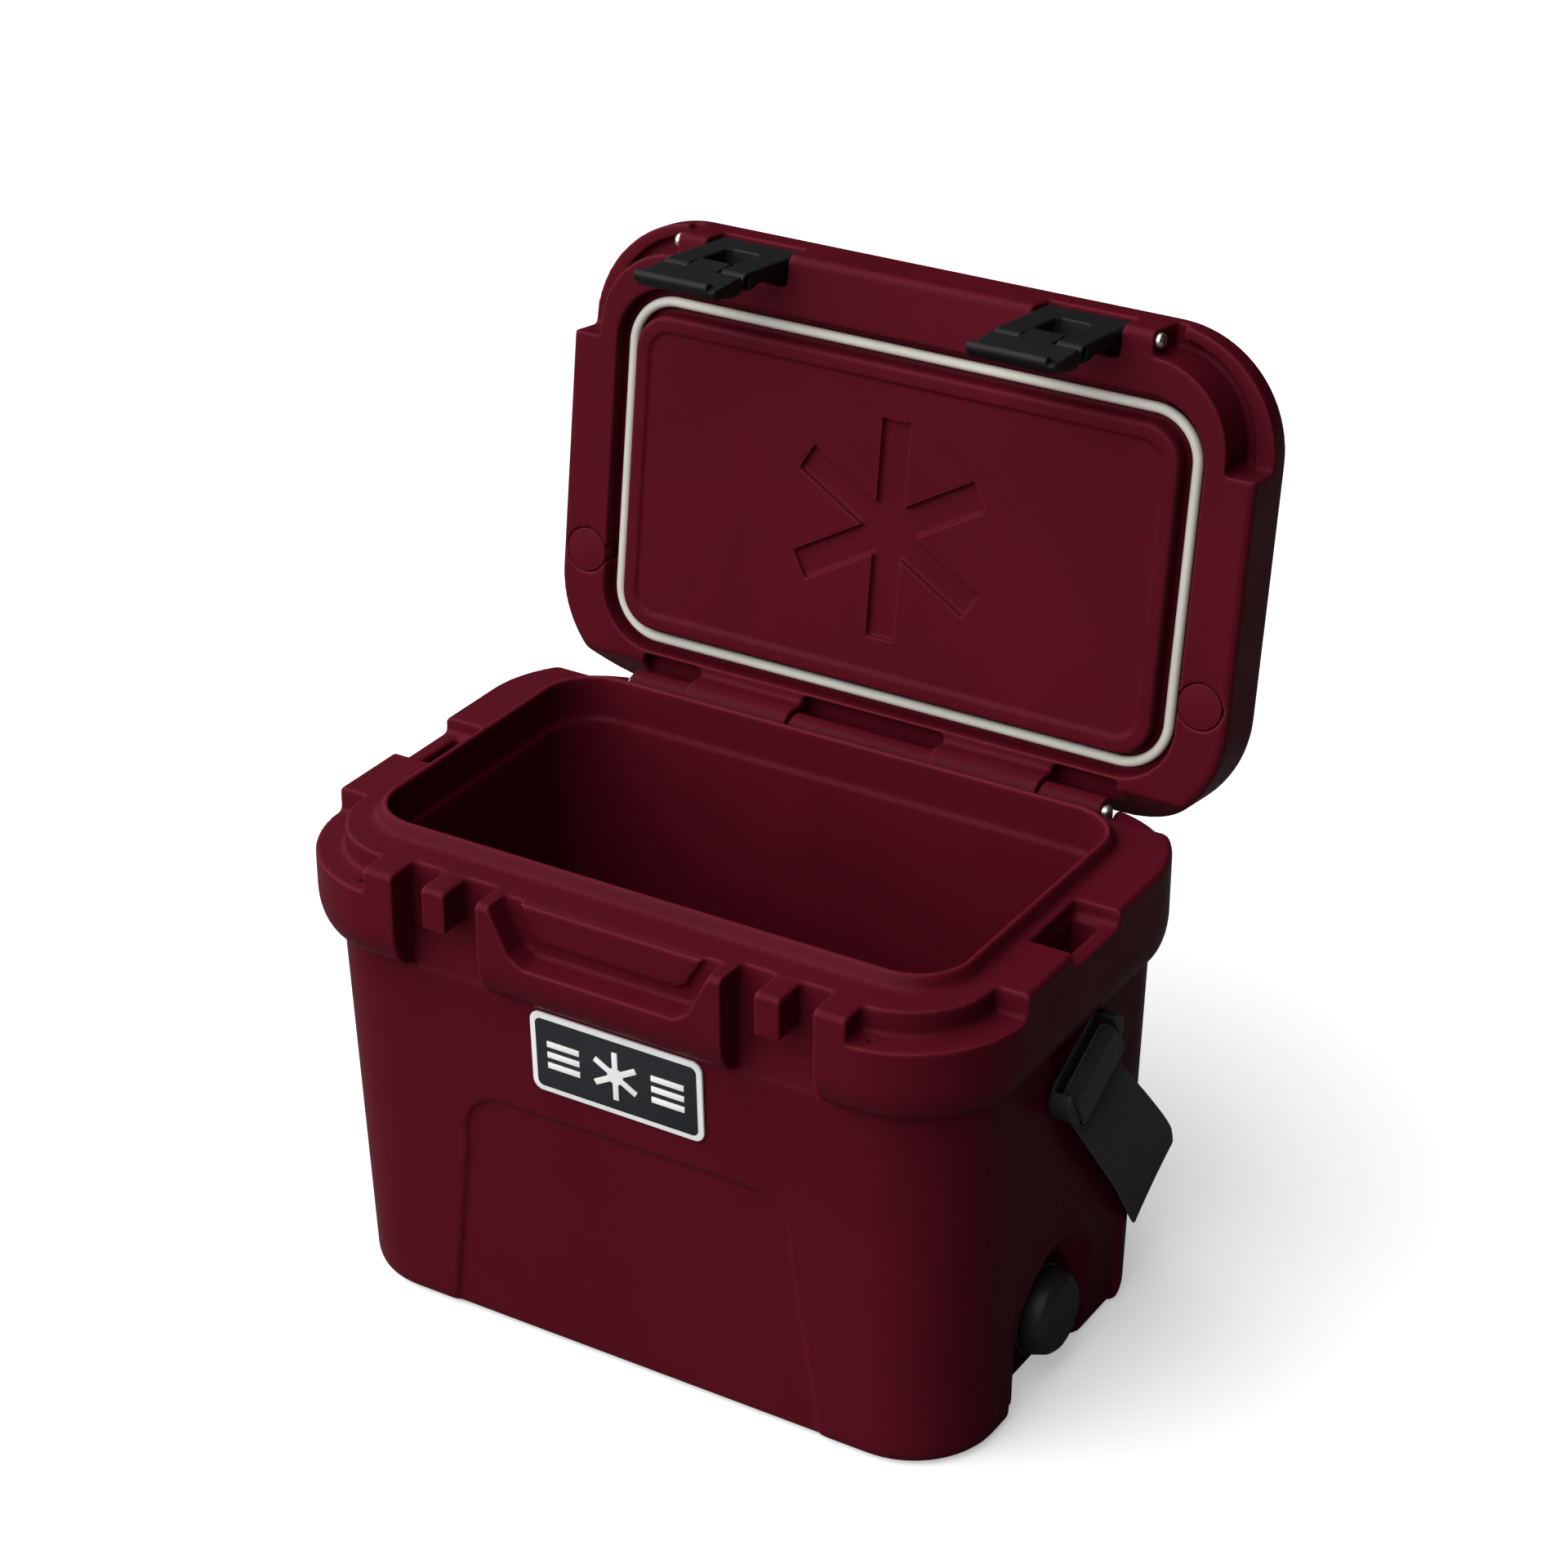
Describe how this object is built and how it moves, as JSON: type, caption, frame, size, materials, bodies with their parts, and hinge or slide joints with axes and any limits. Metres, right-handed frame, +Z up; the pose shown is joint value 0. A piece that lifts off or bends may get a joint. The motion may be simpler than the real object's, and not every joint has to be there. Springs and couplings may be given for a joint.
{
  "type": "small hard cooler with a hinged lid",
  "caption": "Small rotomoulded hard cooler with a hinged insulated lid, draw latches, a threaded drain, tie-down slots and a carry strap.",
  "frame": {"origin": "on the ground under the middle of the overall box with the lid open", "axes": "+X to the cooler's right seen from the front, +Y to the back where the hinge is, +Z up"},
  "size_m": [0.4292, 0.3502, 0.5362],
  "materials": {
    "shell_plastic": "satin, very slightly pebbled, moulded in one colour",
    "foam": "rigid insulation foam, never seen",
    "rubber": "matt",
    "latch_rubber": "matt, moulded",
    "black_plastic": "satin",
    "gasket": "matt off-white",
    "badge": "satin dark plate with a light border",
    "steel": "satin",
    "webbing": "woven ribbed webbing"
  },
  "bodies": {
    "tub": {"tub_shell": "shell_plastic", "tub_foam": "foam", "tub_fill_plug_left": "shell_plastic", "tub_fill_plug_right": "shell_plastic", "rubber_foot_front_left": "rubber", "rubber_foot_front_right": "rubber", "rubber_foot_back_left": "rubber", "rubber_foot_back_right": "rubber", "badge_plate": "badge", "hinge_pin_left": "steel", "hinge_pin_right": "steel", "drain_spout": "black_plastic", "drain_seal": "rubber", "strap_base_left": "steel", "strap_base_right": "steel"},
    "lid": {"lid_shell": "shell_plastic", "lid_foam": "foam", "lid_fill_plug_left": "shell_plastic", "lid_fill_plug_right": "shell_plastic", "lid_gasket": "gasket", "latch_pin_left": "steel", "latch_pin_right": "steel"},
    "latch_left": {"latch_frame_left": "latch_rubber", "lever_pin_left": "steel"},
    "lever_left": {"latch_lever_left": "latch_rubber"},
    "latch_right": {"latch_frame_right": "latch_rubber", "lever_pin_right": "steel"},
    "lever_right": {"latch_lever_right": "latch_rubber"},
    "strap": {"strap_bracket_left": "black_plastic", "strap_bracket_right": "black_plastic", "strap_bar_left": "steel", "strap_bar_right": "steel", "strap_webbing": "webbing"},
    "cap": {"drain_cap": "black_plastic"}
  },
  "joints": [
    {"name": "lid_hinge", "type": "hinge", "parent": "tub", "child": "lid", "pos_m": [0, 0.0899, 0.274], "axis": [-1, 0, 0], "range_deg": [-97.56, 0]},
    {"name": "latch_left_swing", "type": "hinge", "parent": "lid", "child": "latch_left", "pos_m": [-0.1005, 0.13817, 0.52523], "axis": [-1, 0, 0], "range_deg": [0, 95]},
    {"name": "latch_left_lever", "type": "hinge", "parent": "latch_left", "child": "lever_left", "pos_m": [-0.1005, 0.09229, 0.52881], "axis": [-1, 0, 0], "range_deg": [0, 70]},
    {"name": "latch_right_swing", "type": "hinge", "parent": "lid", "child": "latch_right", "pos_m": [0.1005, 0.13817, 0.52523], "axis": [-1, 0, 0], "range_deg": [0, 95]},
    {"name": "latch_right_lever", "type": "hinge", "parent": "latch_right", "child": "lever_right", "pos_m": [0.1005, 0.09229, 0.52881], "axis": [-1, 0, 0], "range_deg": [0, 70]},
    {"name": "strap_swing", "type": "hinge", "parent": "tub", "child": "strap", "pos_m": [0, -0.0201, 0.183], "axis": [1, 0, 0], "range_deg": [0, 60]},
    {"name": "drain_cap_turn", "type": "hinge", "parent": "tub", "child": "cap", "pos_m": [0.19, -0.0341, 0.04], "axis": [1, 0, 0], "range_deg": [0, 450]}
  ]
}
